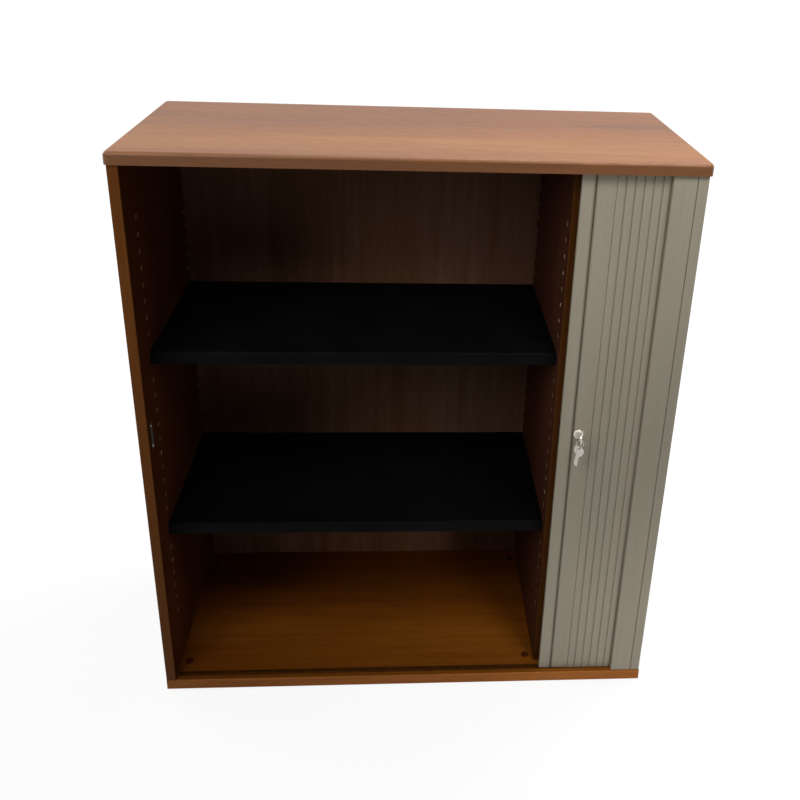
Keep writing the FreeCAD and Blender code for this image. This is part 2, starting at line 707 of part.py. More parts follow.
def lead_profile():
    """The hollow leading profile, with a shadow line, a lock hole and a bead for the first slat."""
    body = new_body("lead_profile", "left + lead_park", "front + track_setback", "floor_level + lead_end_gap")
    keep(body, "lead_profile")
    tall = "clear_height - 2 * lead_end_gap"
    edge = "slat_gap / 2"
    line_from = "lead_line - lead_line_width / 2"
    line_to = "lead_line + lead_line_width / 2"
    under = "slat_plate - slat_face"
    chamfer = "slat_chamfer"
    sketch = sketch_on(body, "XY_Plane")
    outline(sketch, ("0", f"{chamfer} - slat_face"), (chamfer, "-slat_face"), (line_from, "-slat_face"),
            (line_from, "lead_line_depth - slat_face"), (line_to, "lead_line_depth - slat_face"),
            (line_to, "-slat_face"), (f"lead_width - {edge} - {chamfer}", "-slat_face"),
            (f"lead_width - {edge}", f"{chamfer} - slat_face"), (f"lead_width - {edge}", under),
            ("lead_box", under), ("lead_box", "slat_face"), (chamfer, "slat_face"),
            ("0", f"slat_face - {chamfer}"))
    pad(body, sketch, tall)
    bead = sketch_on(body, "XY_Plane")
    faceted(bead, "lead_width", "0", "bead_radius")
    pad(body, bead, tall)
    neck = sketch_on(body, "XY_Plane")
    rectangle(neck, "lead_box - lead_wall", "-neck_thick / 2", "lead_width", "neck_thick / 2")
    pad(body, neck, tall)
    chambers = sketch_on(body, "XY_Plane")
    inner = "(slat_face - lead_wall)"
    rectangle(chambers, "lead_wall", f"-{inner}", f"{line_from} - lead_wall", inner)
    rectangle(chambers, f"{line_to} + lead_wall", f"-{inner}", "lead_box - lead_wall", inner)
    pocket(body, chambers, tall, backwards=True)
    hole = sketch_on(body, "XZ_Plane", "slat_face")
    circle(hole, "lock_from_edge", "lock_height - floor_level - lead_end_gap", "barrel_radius + barrel_fit")
    pocket(body, hole, "2 * slat_face")


def lead_glide(label, level, tongues_up):
    """A plastic end piece that runs in the channel, with tongues in the lead's two chambers."""
    body = keep(new_body(label, "left + lead_park", "front + track_setback", level), label)
    deep = "rail_depth - rail_base - run_gap + lead_end_gap"
    line_from = "lead_line - lead_line_width / 2"
    line_to = "lead_line + lead_line_width / 2"
    sketch = sketch_on(body, "XY_Plane")
    rectangle(sketch, "slat_chamfer", "-slat_face", "lead_box", "slat_face")
    pad(body, sketch, deep, backwards=tongues_up)
    tongues = sketch_on(body, "XY_Plane")
    wall = "(lead_wall + glide_fit)"
    half = f"(slat_face - {wall})"
    rectangle(tongues, wall, f"-{half}", f"{line_from} - {wall}", half)
    rectangle(tongues, f"{line_to} + {wall}", f"-{half}", f"lead_box - {wall}", half)
    pad(body, tongues, "tongue_length", backwards=not tongues_up)


LOCK_PLACE = ("left + lead_park + lock_from_edge", "front + lead_face", "lock_height")
HOOK_PLACE = ("left + lead_park + hook_pivot", "front + lead_face", "lock_height")


def turned_forward(body):
    """Lays a body that was turned about Z so that its Z axis points to the front."""
    body.Placement = Placement(body.Placement.Base, Rotation(Vector(1, 0, 0), 90))
    return body


def lock_barrel():
    body = keep(turned_forward(new_body("lock_barrel", *LOCK_PLACE)), "lock_barrel")
    for radius, length, backwards in (("rosette_radius", "rosette_thick", False),
                                      ("barrel_radius", "2 * slat_face", True)):
        sketch = sketch_on(body, "XY_Plane")
        faceted(sketch, "0", "0", radius, LOCK_SIDES)
        pad(body, sketch, length, backwards)
    bore = sketch_on(body, "XY_Plane", "rosette_thick")
    circle(bore, "0", "0", "plug_radius + turn_gap")
    pocket(body, bore, "rosette_thick + 2 * slat_face")


def lock_plug():
    """The turning plug, with its keyway in front and a crank at its inner end."""
    body = keep(turned_forward(new_body("lock_plug", *LOCK_PLACE)), "lock_plug")
    face = "rosette_thick - turn_gap"
    revolve(body, ("0", "-works_level"), ("plug_radius", "-works_level"), ("plug_radius", face), ("0", face))
    crank = sketch_on(body, "XY_Plane", "-works_level")
    rectangle(crank, "-crank_width / 2", "-crank_width / 2", "crank_width / 2", "crank + crank_end")
    pad(body, crank, "crank_thick", backwards=True)
    hole = sketch_on(body, "XY_Plane", "-works_level")
    circle(hole, "0", "crank", "crank_hole")
    pocket(body, hole, "crank_thick")
    keyway = sketch_on(body, "XY_Plane", "rosette_thick")
    half = "(key_thick / 2 + keyway_fit)"
    rectangle(keyway, f"-{half}", "-blade_half - keyway_fit", half, "blade_half + keyway_fit")
    pocket(body, keyway, "blade_length + keyway_fit")


def key_in_lock():
    body = keep(new_body("key", *LOCK_PLACE), "key")
    sketch = sketch_on(body, "YZ_Plane", "-key_thick / 2")
    shoulder = "-rosette_thick - bow_clear"
    outline(sketch, ("-bow_centre", "-shoulder_half"), (shoulder, "-shoulder_half"),
            (shoulder, "-blade_half"), ("blade_length - rosette_thick", "-blade_half"),
            ("blade_length - rosette_thick", "blade_half"),
            (shoulder, "blade_half"), (shoulder, "shoulder_half"), ("-bow_centre", "shoulder_half"))
    pad(body, sketch, "key_thick")
    bow = sketch_on(body, "YZ_Plane", "-key_thick / 2")
    faceted(bow, "-bow_centre", "0", "bow_radius", LOCK_SIDES)
    pad(body, bow, "key_thick")
    hole = sketch_on(body, "YZ_Plane", "key_thick / 2")
    faceted(hole, "-ring_level", "0", "bow_hole", LOCK_SIDES)
    pocket(body, hole, "key_thick")


def key_ring():
    body = new_body("key_ring", LOCK_PLACE[0], f"{LOCK_PLACE[1]} - ring_level", "lock_height - ring_drop")
    keep(body, "key_ring")
    sketch = sketch_on(body, "XZ_Plane", "-ring_thick / 2")
    faceted(sketch, "0", "0", "ring_radius + ring_wire", LOCK_SIDES)
    faceted(sketch, "0", "0", "ring_radius - ring_wire", LOCK_SIDES)
    pad(body, sketch, "ring_thick")


def spare_key():
    """A second key that hangs from the ring by its bow."""
    body = keep(new_body("spare_key"), "spare_key")
    sketch = sketch_on(body, "YZ_Plane", "-key_thick / 2")
    tip = "-spare_hole_offset - bow_radius - spare_blade"
    outline(sketch, ("-blade_half", "-spare_hole_offset"), ("-blade_half", tip), ("blade_half / 2", tip),
            ("blade_half", f"{tip} + blade_half / 2"), ("blade_half", "-spare_hole_offset"))
    pad(body, sketch, "key_thick")
    bow = sketch_on(body, "YZ_Plane", "-key_thick / 2")
    faceted(bow, "0", "-spare_hole_offset", "bow_radius", LOCK_SIDES)
    pad(body, bow, "key_thick")
    hole = sketch_on(body, "YZ_Plane", "key_thick / 2")
    faceted(hole, "0", "0", "bow_hole", LOCK_SIDES)
    pocket(body, hole, "key_thick")
    twist = Rotation(Vector(0, 0, 1), SPARE_TWIST).multiply(Rotation(Vector(1, 0, 0), SPARE_TILT))
    body.Placement = Placement(Vector(0, 0, 0), twist)
    move(body, LOCK_PLACE[0], f"{LOCK_PLACE[1]} - ring_level", "lock_height - spare_drop")


def hook_bolt():
    """The locking hook: an arm with a claw, and an ear for the link."""
    body = keep(new_body("hook_bolt", *HOOK_PLACE), "hook_bolt")
    level = "-works_level - crank_thick"
    half = "hook_width / 2"
    sketch = sketch_on(body, "XZ_Plane", level)
    outline(sketch, (half, "0"), (half, "-hook_reach"), (f"-{half}", "-hook_reach"),
            ("-claw_height", "claw_rake - hook_reach"),
            ("claw_rake - claw_height", "claw_rake + claw_thick - hook_reach"),
            (f"-{half}", "claw_thick - hook_reach"), (f"-{half}", "0"), ("-crank_end", "0"),
            ("-crank_end", "crank + crank_end"), ("crank_end", "crank + crank_end"), ("crank_end", "0"))
    pad(body, sketch, "crank_thick")
    holes = sketch_on(body, "XZ_Plane", "-works_level")
    circle(holes, "0", "0", "pivot_pin + turn_gap")
    circle(holes, "0", "crank", "crank_hole")
    pocket(body, holes, "crank_thick")


def lock_link():
    """The bar that keeps hook and plug parallel, with a pin into the crank of each."""
    body = keep(new_body("lock_link", *HOOK_PLACE), "lock_link")
    reach = "lock_from_edge - hook_pivot"
    level = "-link_level - link_thick"
    bar = sketch_on(body, "XZ_Plane", level)
    rectangle(bar, "-crank_end", "crank - crank_end", f"{reach} + crank_end", "crank + crank_end")
    pad(body, bar, "link_thick")
    pins = sketch_on(body, "XZ_Plane", level)
    for x in ("0", reach):
        circle(pins, x, "crank", "link_pin")
    pad(body, pins, "link_thick + link_gap + crank_thick - turn_gap")


def lock_case():
    """The case on the lead's back, open to the lead, with the hook's pivot and a slot for the hook."""
    rear = "front + lead_face + 2 * slat_face"
    body = new_body("lock_case", "left + lead_park + case_edge", rear, "lock_height")
    keep(body, "lock_case")
    sketch = sketch_on(body, "XZ_Plane")
    rectangle(sketch, "0", "-case_drop", "case_width", "case_rise")
    pad(body, sketch, "case_depth", backwards=True)
    inside = sketch_on(body, "XZ_Plane")
    rectangle(inside, "case_wall", "case_wall - case_drop", "case_width - case_wall", "case_rise - case_wall")
    pocket(body, inside, "case_depth - case_wall")
    pivot = sketch_on(body, "XZ_Plane")
    circle(pivot, "hook_pivot - case_edge", "0", "pivot_pin")
    pad(body, pivot, "case_depth - case_wall / 2", backwards=True)
    slot = sketch_on(body, "YZ_Plane", "case_wall")
    rectangle(slot, "0", "-slot_drop", "works_gap + crank_thick + hook_side_gap", "slot_rise")
    pocket(body, slot, "case_wall")


top_panel()
bottom_panel()
left_side_panel()
right_side_panel()
back_panel()
inner_liner()
guide_rail("upper_guide_rail", value("ceiling_level"), 1)
guide_rail("lower_guide_rail", value("floor_level"), -1)
track_end_stops()
front_post()
shelf("shelf_upper", "upper_shelf")
shelf("shelf_lower", "lower_shelf")
shelf_pins()
strike_plate()
floor_caps()
levelling_feet()
curtain()
lead_profile()
lead_glide("lead_glide_lower", "floor_level + lead_end_gap", True)
lead_glide("lead_glide_upper", "ceiling_level - lead_end_gap", False)
lock_case()
lock_barrel()
lock_plug()
key_in_lock()
key_ring()
spare_key()
hook_bolt()
lock_link()
doc.recompute()

for thing in doc.Objects:
    if "Invalid" in thing.State or "Error" in thing.State:
        raise ValueError(f"{thing.Name} failed: {thing.State}")
for label, thing in kept.items():
    if thing.Shape.isNull() or not thing.Shape.isValid():
        raise ValueError(f"{label} has no valid shape")

os.makedirs("parts", exist_ok=True)
for label, thing in kept.items():
    thing.Shape.exportStep(f"parts/{label}.step")
print(f"{len(kept)} sub-parts, {len(joints) - 1} slats, shutter travel {travel:.1f} mm")
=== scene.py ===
"""Looks of an office cabinet with a horizontal tambour shutter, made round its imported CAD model.

Metres, +X to the right, +Y to the back, +Z up, with the origin on the ground under the middle.
"""
import json
import math

import bmesh
import bpy
from bpy.props import FloatProperty, FloatVectorProperty, PointerProperty
from mathutils import Matrix, Vector


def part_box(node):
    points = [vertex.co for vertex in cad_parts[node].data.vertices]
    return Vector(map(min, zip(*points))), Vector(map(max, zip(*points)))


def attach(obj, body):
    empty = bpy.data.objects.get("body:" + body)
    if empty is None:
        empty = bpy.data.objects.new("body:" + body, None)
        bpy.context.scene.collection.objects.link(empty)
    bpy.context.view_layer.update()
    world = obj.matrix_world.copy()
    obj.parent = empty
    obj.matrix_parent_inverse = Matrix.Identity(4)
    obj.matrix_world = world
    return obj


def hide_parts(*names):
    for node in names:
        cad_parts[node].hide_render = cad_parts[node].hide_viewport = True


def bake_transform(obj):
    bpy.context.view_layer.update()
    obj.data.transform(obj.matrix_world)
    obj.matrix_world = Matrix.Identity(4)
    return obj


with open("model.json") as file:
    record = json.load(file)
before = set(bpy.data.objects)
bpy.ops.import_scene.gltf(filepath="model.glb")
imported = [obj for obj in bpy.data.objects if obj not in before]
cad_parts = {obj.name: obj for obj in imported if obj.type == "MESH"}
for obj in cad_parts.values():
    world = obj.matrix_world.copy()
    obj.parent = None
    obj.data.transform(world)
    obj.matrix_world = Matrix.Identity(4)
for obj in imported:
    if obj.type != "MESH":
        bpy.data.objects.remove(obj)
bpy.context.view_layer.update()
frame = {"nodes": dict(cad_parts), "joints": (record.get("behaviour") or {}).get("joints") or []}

bl_info = {
    "name": "Tambour cabinet looks",
    "version": (1, 0, 0),
    "blender": (4, 5, 0),
    "location": "View3D > Sidebar > Cabinet",
    "description": "Finishes, fittings and studio for a tambour door cabinet",
    "category": "Object",
}

MM = 0.001
WELD = 0.001 * MM
SHARP_EDGE = math.radians(35)

# The compartments lie between the left side panel, the liner and the back, on the bottom panel
LEFT_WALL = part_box("left_side_panel")[1].x
LINER_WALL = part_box("inner_liner")[0].x
BACK_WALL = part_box("back_panel")[0].y
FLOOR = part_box("left_side_panel")[0].z
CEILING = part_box("left_side_panel")[1].z

# Painted shade on the faces inside, as shares of the laminate's red, green and blue; on the back
# also a greyer painted sheen
FLOOR_SHADE = (0.95, 0.78, 0.3)
LEFT_SHADE = (0.3, 0.22, 0.25)
BACK_SHADE_AND_SHEEN = (0.75, 1.05, 3.0)
LINER_SHADE = (0.22, 0.2, 0.5)

# Scales that draw noise out along the grain
GRAIN = {"X": (0.07, 1.0, 1.0), "Z": (1.0, 1.0, 0.07)}

# The camera: its place, its turns in degrees and the shift of its picture in picture widths
CAMERA_PLACE = (-0.023525, -1.636998, 1.529256)
CAMERA_YAW = -4.5471
CAMERA_PITCH = -22.3288
CAMERA_ROLL = -2.3294
CAMERA_SHIFT = (-0.0826, -0.15)


def srgb(red, green, blue):
    """A colour from 8-bit display values, as the linear one that shaders use."""
    def linear(level):
        share = level / 255
        return share / 12.92 if share <= 0.04045 else ((share + 0.055) / 1.055) ** 2.4
    return tuple(linear(level) for level in (red, green, blue))


def shaded(colour, share):
    """A colour with each of its levels multiplied by a share, up to full."""
    return tuple(min(1, level * share) for level in colour)


def colour_property(name, description, default):
    return FloatVectorProperty(name=name, description=description, default=default, size=3,
                               min=0, max=1, subtype="COLOR")


def length_property(name, description, default):
    return FloatProperty(name=name, description=description, default=default, min=0,
                         subtype="DISTANCE", unit="LENGTH")


def power_property(name, description, default):
    return FloatProperty(name=name, description=description, default=default, min=0, unit="POWER")


class CabinetColours(bpy.types.PropertyGroup):
    """Colours of the cabinet's finishes."""
    laminate_light: colour_property("Laminate, light", "Light streaks in it", srgb(160, 104, 50))
    laminate_mid: colour_property("Laminate", "Main tone of the cherry laminate", srgb(138, 83, 34))
    laminate_dark: colour_property("Laminate, dark", "Dark streaks in it", srgb(110, 61, 20))
    edging: colour_property("Edging", "Edge bands of the boards", srgb(130, 79, 33))
    silver: colour_property("Silver", "Slats, leading profile and post", srgb(172, 163, 144))
    # Painted shade along the slats' joints, along the profile's line and in the drawn curtain's
    # grooves
    seam: colour_property("Seam", "Shade along the joints of the slats", srgb(92, 82, 66))
    shelf: colour_property("Shelf steel", "Powder coat of the steel shelves", srgb(9, 9, 9))
    track: colour_property("Track", "Guide rails of the shutter", srgb(88, 50, 18))
    plastic: colour_property("Plastic", "Feet, glides and end stops", srgb(30, 28, 27))
    sleeve: colour_property("Sleeve", "Sleeves in the shelf pin holes", srgb(205, 175, 145))
    cap: colour_property("Cap", "Caps in the cabinet's floor", srgb(74, 30, 14))
    nickel: colour_property("Nickel", "Lock barrel, keys and ring", srgb(214, 208, 198))
    zinc: colour_property("Zinc", "Lock works and screws", srgb(176, 176, 172))
    ground: colour_property("Ground", "Studio floor", srgb(185, 185, 185))


class CabinetSizes(bpy.types.PropertyGroup):
    """Sizes of the finishes, and of the small pieces that the frame has no solids for."""
    edge_band: length_property("Edge band", "Depth of a board's front edge band", 1.2 * MM)
    top_edge: length_property("Top edge", "Depth where the top's edging starts", 5 * MM)
    # Depth of the painted shade on the faces inside
    shade_skin: length_property("Face skin", "Depth of the tint on the faces inside", 1 * MM)
    hole_radius: length_property("Hole radius", "Shelf pin holes", 2.5 * MM)
    hole_pitch: length_property("Hole pitch", "Height from one pin hole to the next", 32 * MM)
    hole_rim: length_property("Hole rim", "Width of a sleeve's lip round its hole", 1.5 * MM)
    screw_radius: length_property("Screw radius", "Heads of the fitting screws", 3.4 * MM)
    slat_pitch: length_property("Slat pitch", "Width of one slat with its joint", 16 * MM)
    slat_groove: length_property("Slat groove", "Half width of the open joint", 0.4 * MM)
    slat_chamfer: length_property("Slat chamfer", "Chamfer along a slat's edges", 0.7 * MM)
    # The shade reaches are for painted shade beside the slats' joints and beside the profile's line
    slat_shade: length_property("Slat shade", "Reach of the shade beside a joint", 2 * MM)
    profile_line: length_property("Profile line", "Shadow line, from the left edge", 24.5 * MM)
    profile_shade: length_property("Profile shade", "Reach of the shade beside it", 5 * MM)


class CabinetStage(bpy.types.PropertyGroup):
    """Lamps and camera of the studio."""
    key_power: power_property("Key power", "Large lamp overhead", 46)
    front_power: power_property("Front power", "Soft lamp in front", 8.5)
    side_power: power_property("Side power", "Narrow lamp at the upper right", 1.05)
    inside_power: power_property("Inside power", "Lamp at the left that looks in", 0.7)
    low_power: power_property("Low power", "Narrow lamp near the floor", 0.2)
    rear_power: power_property("Rear power", "Soft lamps behind", 45)
    ambient: FloatProperty(name="Ambient", description="World light on the object", default=0.03,
                           min=0, max=1, subtype="FACTOR")
    focal: FloatProperty(name="Focal length", description="Lens on a 36 mm sensor", default=40.234,
                         min=1, subtype="DISTANCE_CAMERA")


class Signal:
    """An output socket in a node tree, for sums on values in Python and for adding more nodes."""

    def __init__(self, tree, socket=None):
        self.tree = tree
        self.socket = socket

    def node(self, kind, settings=None, sockets=None, outlet=0):
        """Adds a node of a type, sets it up, then fills its sockets with values or links."""
        made = self.tree.nodes.new(kind)
        for name, setting in (settings or {}).items():
            if name == "stops":
                ramp = made.color_ramp.elements
                while len(ramp) < len(setting):
                    ramp.new(0.5)
                for stop, (position, colour) in zip(ramp, setting):
                    stop.position = position
                    stop.color = (*colour, 1)
            else:
                setattr(made, name, setting)
        for name, value in (sockets or {}).items():
            if isinstance(value, Signal):
                self.tree.links.new(value.socket, made.inputs[name])
            elif isinstance(value, (tuple, list)) and made.inputs[name].type == "RGBA":
                made.inputs[name].default_value = (*value, 1)
            else:
                made.inputs[name].default_value = value
        return Signal(self.tree, made.outputs[outlet] if made.outputs else None)

    def sum(self, operation, first, second):
        return self.node("ShaderNodeMath", {"operation": operation}, {0: first, 1: second})

    def __add__(self, other):
        return self.sum("ADD", self, other)

    def __radd__(self, other):
        return self.sum("ADD", other, self)

    def __sub__(self, other):
        return self.sum("SUBTRACT", self, other)

    def __rsub__(self, other):
        return self.sum("SUBTRACT", other, self)

    def __mul__(self, other):
        return self.sum("MULTIPLY", self, other)

    def __rmul__(self, other):
        return self.sum("MULTIPLY", other, self)

    def __lt__(self, other):
        return self.sum("LESS_THAN", self, other)

    def __gt__(self, other):
        return self.sum("GREATER_THAN", self, other)

    def mix(self, first, second):
        """A colour from first to second, by this signal."""
        return self.node("ShaderNodeMix", {"data_type": "RGBA"}, {0: self, 6: first, 7: second}, 2)

    def multiply(self, first, second):
        """Two colours multiplied, by this signal's share."""
        return self.node("ShaderNodeMix", {"data_type": "RGBA", "blend_type": "MULTIPLY"},
                         {0: self, 6: first, 7: second}, 2)

    def stretched(self, scale):
        return self.node("ShaderNodeMapping", None, {"Vector": self, "Scale": scale})

    def noise(self, scale, detail=2.0, roughness=0.5, distortion=0.0):
        return self.node("ShaderNodeTexNoise", None,
                         {"Vector": self, "Scale": scale, "Detail": detail,
                          "Roughness": roughness, "Distortion": distortion})

    def ramp(self, *stops):
        return self.node("ShaderNodeValToRGB", {"stops": stops}, {"Fac": self})

    def spread(self, low, high, to_low=0.0, to_high=1.0):
        """This value's range low to high, taken to another range and held there."""
        return self.node("ShaderNodeMapRange", {"clamp": True},
                         {"Value": self, 1: low, 2: high, 3: to_low, 4: to_high})

    def bump(self, strength, distance):
        return self.node("ShaderNodeBump", None,
                         {"Height": self, "Strength": strength, "Distance": distance})

    def parts(self):
        """The x, y and z values of this vector."""
        split = self.node("ShaderNodeSeparateXYZ", None, {"Vector": self}).socket.node
        return [Signal(self.tree, split.outputs[axis]) for axis in "XYZ"]


# Finishes

def new_material(name):
    """An empty material, with its object coordinates as the first signal."""
    material = bpy.data.materials.new(name)
    material.use_nodes = True
    material.node_tree.nodes.clear()
    return material, Signal(material.node_tree).node("ShaderNodeTexCoord", outlet="Object")


def finish_material(material, place, **inputs):
    """Ends a material in a Principled shader, its sockets named with underscores for spaces."""
    shader = place.node("ShaderNodeBsdfPrincipled", None,
                        {name.replace("_", " "): value for name, value in inputs.items()})
    place.node("ShaderNodeOutputMaterial", None, {"Surface": shader})
    return material


def laminate(name, along, gloss, edge_test=None, edging=1.0, inside_shade_test=None, inside=(1, 1, 1)):
    """Cherry laminate with its grain along X or Z.

    It is edging where the edge test on x, y and z holds, its band lighter or darker by the edging
    share as painted light or shade, and it has painted shade where the inside test holds.
    """
    colours = bpy.context.scene.cabinet_colours
    material, place = new_material(name)
    grain = place.stretched(GRAIN[along])
    figure = grain.noise(scale=16, detail=3, roughness=0.5, distortion=0.4)
    streaks = grain.noise(scale=70, detail=3, roughness=0.6, distortion=0.2)
    pores = grain.noise(scale=420, detail=2, roughness=0.6)
    wide = grain.noise(scale=4.5, detail=1)
    tone = figure * 0.3 + streaks * 0.25 + wide * 0.45
    wood = tone.ramp((0.34, colours.laminate_dark), (0.5, colours.laminate_mid),
                     (0.66, colours.laminate_light))
    pitted = pores.spread(0.56, 0.68)
    wood = (pitted * 0.35).multiply(wood, (0.6, 0.5, 0.42))
    # Painted shade on the faces inside, where the inside test holds
    if inside_shade_test:
        wood = inside_shade_test(*place.parts()).multiply(wood, inside)
    if edge_test:
        # The edging share makes the band lighter or darker, as painted light or shade
        dark = shaded(colours.laminate_dark, edging)
        light = shaded(colours.edging, edging)
        band = (streaks * 0.5 + pores * 0.5).ramp((0.3, dark), (0.7, light))
        wood = edge_test(*place.parts()).mix(wood, band)
    rough = 0.4 + figure * 0.08 + pitted * 0.12
    relief = (1 - pitted).bump(strength=0.12, distance=0.2 * MM)
    return finish_material(material, place, Base_Color=wood, Roughness=rough,
                           Specular_IOR_Level=gloss, Normal=relief)


def silver(name, shine, seam=None, reach=0.0, depth=0.0, pitch=1.0):
    """Silver-coloured extrusion with drawn lines along Z and a fine metal flake.

    From the x of a first joint on, it gets painted shade to a depth within reach of a joint at each
    pitch.
    """
    colours = bpy.context.scene.cabinet_colours
    material, place = new_material(name)
    lines = place.stretched((1.0, 1.0, 0.004)).noise(scale=900, detail=2, roughness=0.6)
    flake = place.noise(scale=2600, detail=1)
    cloud = place.stretched((1.0, 1.0, 0.3)).noise(scale=6, detail=2)
    tone = lines * 0.35 + flake * 0.25 + cloud * 0.4
    paint = tone.spread(0.35, 0.65).mix(shaded(colours.silver, 0.86), shaded(colours.silver, 1.1))
    if seam is not None:
        # Painted shade beside each joint, as if the joints lie in shade
        away = place.sum("PINGPONG", place.parts()[0] - seam, pitch / 2)
        paint = away.spread(reach * 0.3, reach, depth, 0.0).mix(paint, tuple(colours.seam))
    rough = shine + lines * 0.08 + cloud * 0.06
    relief = (lines * 0.7 + flake * 0.3).bump(strength=0.06, distance=0.05 * MM)
    return finish_material(material, place, Base_Color=paint, Roughness=rough, Metallic=0.1,
                           Specular_IOR_Level=0.3, Normal=relief)


def powder_coat(name, colour):
    """Powder coat: a fine orange peel over steel, with a little dust on it."""
    material, place = new_material(name)
    peel = place.noise(scale=700, detail=2)
    dust = place.noise(scale=9, detail=4, roughness=0.65)
    specks = place.noise(scale=3000, detail=1).spread(0.68, 0.75)
    dusty = tuple(level * 1.7 + 0.004 for level in colour)
    paint = (dust.spread(0.4, 0.75) * 0.6 + specks * 0.25).mix(tuple(colour), dusty)
    return finish_material(material, place, Base_Color=paint, Roughness=0.46 + dust * 0.12,
                           Specular_IOR_Level=0.03,
                           Normal=peel.bump(strength=0.16, distance=0.1 * MM))


def moulded(name, colour, gloss=0.4):
    """Moulded plastic with a fine spark texture."""
    material, place = new_material(name)
    spark = place.noise(scale=1800, detail=2, roughness=0.6)
    worn = place.noise(scale=40, detail=3)
    paint = worn.spread(0.4, 0.8).mix(tuple(colour), shaded(colour, 1.6))
    return finish_material(material, place, Base_Color=paint, Roughness=0.48 + worn * 0.14,
                           Specular_IOR_Level=gloss,
                           Normal=spark.bump(strength=0.2, distance=0.05 * MM))


def plated(name, colour, roughness):
    """Plated metal with fine polishing marks and a little tarnish."""
    material, place = new_material(name)
    marks = place.stretched((1.0, 0.2, 1.0)).noise(scale=1500, detail=3, roughness=0.7)
    tarnish = place.noise(scale=160, detail=3, roughness=0.6)
    paint = tarnish.spread(0.45, 0.8).mix(tuple(colour), shaded(colour, 0.72))
    rough = roughness + marks * 0.12 + tarnish * 0.08
    return finish_material(material, place, Base_Color=paint, Metallic=1.0, Roughness=rough,
                           Normal=marks.bump(strength=0.05, distance=0.03 * MM))


def painted_hole_shade(name, colour):
    """Painted shade that stands for the dark depth of a drilled hole, with a little chip dust."""
    material, place = new_material(name)
    dust = place.noise(scale=1400, detail=3)
    paint = dust.spread(0.5, 0.8).mix(shaded(colour, 0.12), shaded(colour, 0.4))
    return finish_material(material, place, Base_Color=paint, Roughness=0.9 - dust * 0.1)


# Shapes

def paint_nodes(material, *names):
    """Gives CAD nodes a material in each of their slots."""
    for name in names:
        for slot in frame["nodes"][name].material_slots:
            slot.material = material


def new_piece(name, shape, materials, body):
    """Makes a piece from a bmesh, smooth between sharp edges, that rides on a body if given."""
    mesh = bpy.data.meshes.new(name)
    shape.to_mesh(mesh)
    shape.free()
    for material in materials:
        mesh.materials.append(material)
    mesh.polygons.foreach_set("use_smooth", [True] * len(mesh.polygons))
    mesh.set_sharp_from_angle(angle=SHARP_EDGE)
    piece = bpy.data.objects.new(name, mesh)
    bpy.context.scene.collection.objects.link(piece)
    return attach(piece, body) if body else piece


def facing(place, direction):
    """The transform that takes a shape made along +Z to a place, looking the way of a direction."""
    rotation = Vector(direction).to_track_quat("Z", "Y").to_matrix().to_4x4()
    return Matrix.Translation(place) @ rotation


def corners_of(faces):
    """The vertices of some faces, each of them once."""
    return list(dict.fromkeys(vert for face in faces for vert in face.verts))


def turn(shape, profile, transform, sides, material=0):
    """Spins a profile of radius and height about Z, takes it to its place and gives its faces."""
    corners = [shape.verts.new((radius, 0, height)) for radius, height in profile]
    edges = [shape.edges.new(pair) for pair in zip(corners, corners[1:])]
    before = set(shape.faces)
    bmesh.ops.spin(shape, geom=corners + edges, cent=(0, 0, 0), axis=(0, 0, 1),
                   angle=2 * math.pi, steps=sides, use_merge=True)
    spun = [face for face in shape.faces if face not in before]
    bmesh.ops.remove_doubles(shape, verts=corners_of(spun), dist=WELD)
    faces = [face for face in shape.faces if face not in before]
    bmesh.ops.recalc_face_normals(shape, faces=faces)
    for face in faces:
        face.material_index = material
    bmesh.ops.transform(shape, matrix=transform, verts=corners_of(faces))
    return faces


def cross_points(arm, half):
    """The outline of a plus sign: its corners, with the middles of its sides between them."""
    quarter = [Vector((arm, -half)), Vector((arm, half)), Vector((half, half))]
    corners = []
    for step in range(4):
        corners += [Matrix.Rotation(step * math.pi / 2, 2) @ corner for corner in quarter]
    outline = []
    for corner, following in zip(corners, corners[1:] + corners[:1]):
        outline += [corner, (corner + following) / 2]
    return outline


def bearing(point):
    """The angle of a point about Z, from +X on."""
    return math.atan2(point.y, point.x) % (2 * math.pi)


def screw_head(shape, place, direction, radius):
    """A pan head with a cross recess, its steps given as shares of its radius."""
    wall = 0.25
    crown = ((0.18, 0.2), (0.2, 0.08))
    land = 0.1
    sink = 0.35
    outline = cross_points(0.42 * radius, 0.11 * radius)
    before = set(shape.verts)
    disc = bmesh.ops.create_circle(shape, cap_ends=True, radius=radius, segments=len(outline))
    raised = bmesh.ops.extrude_face_region(shape, geom=disc["verts"][0].link_faces[:])
    top = next(item for item in raised["geom"] if isinstance(item, bmesh.types.BMFace))
    bmesh.ops.translate(shape, verts=top.verts, vec=(0, 0, wall * radius))
    for inset, rise in crown:
        bmesh.ops.inset_region(shape, faces=[top], thickness=inset * radius)
        bmesh.ops.translate(shape, verts=top.verts, vec=(0, 0, rise * radius))
    bmesh.ops.inset_region(shape, faces=[top], thickness=land * radius)
    start = min(range(len(outline)), key=lambda i: bearing(outline[i]))
    for i, vert in enumerate(sorted(top.verts, key=lambda vert: bearing(vert.co))):
        vert.co.xy = outline[(start + i) % len(outline)]
    sunk = bmesh.ops.extrude_face_region(shape, geom=[top])
    bottom = [item for item in sunk["geom"] if isinstance(item, bmesh.types.BMVert)]
    bmesh.ops.delete(shape, geom=[top], context="FACES_ONLY")
    bmesh.ops.translate(shape, verts=bottom, vec=(0, 0, -sink * radius))
    head = [vert for vert in shape.verts if vert not in before]
    faces = list(dict.fromkeys(face for vert in head for face in vert.link_faces))
    bmesh.ops.recalc_face_normals(shape, faces=faces)
    bmesh.ops.transform(shape, matrix=facing(place, direction), verts=head)


# Pieces

